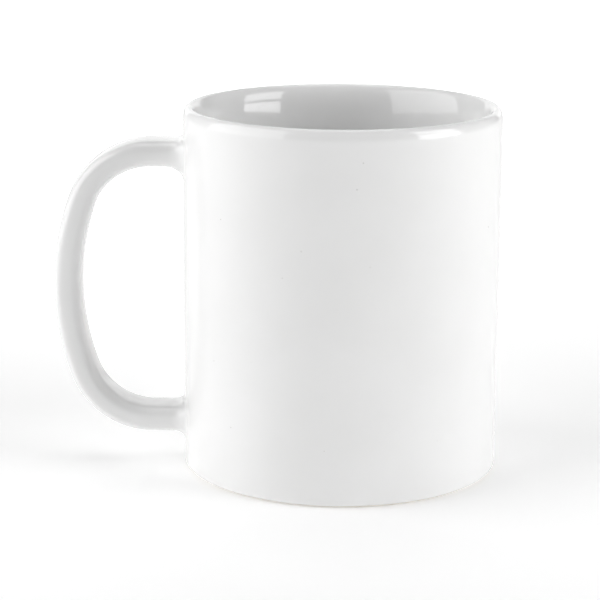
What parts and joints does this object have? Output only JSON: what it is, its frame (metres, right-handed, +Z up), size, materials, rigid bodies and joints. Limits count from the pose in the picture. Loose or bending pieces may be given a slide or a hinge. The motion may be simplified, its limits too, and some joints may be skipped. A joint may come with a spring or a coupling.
{
  "type": "mug",
  "caption": "Straight-sided white glazed ceramic mug with a rounded strap handle, a thin rolled lip and a bare foot ring.",
  "frame": {"origin": "centre of the foot ring, in the plane of the table", "axes": "+Z up along the axis of the cup, -X towards the middle of the handle, which is on the left when looking along +Y"},
  "size_m": [0.1159, 0.082, 0.095],
  "materials": {
    "bare_clay": "matt fired stoneware, fine grained and slightly absorbent",
    "slip": "matt fired clay slip",
    "glaze": "glossy white glaze with a few pinholes"
  },
  "bodies": {
    "root": {"body": "bare_clay", "handle": "bare_clay", "upper_slip_joint": "slip", "lower_slip_joint": "slip", "glaze": "glaze", "base_glaze": "glaze"}
  },
  "joints": []
}
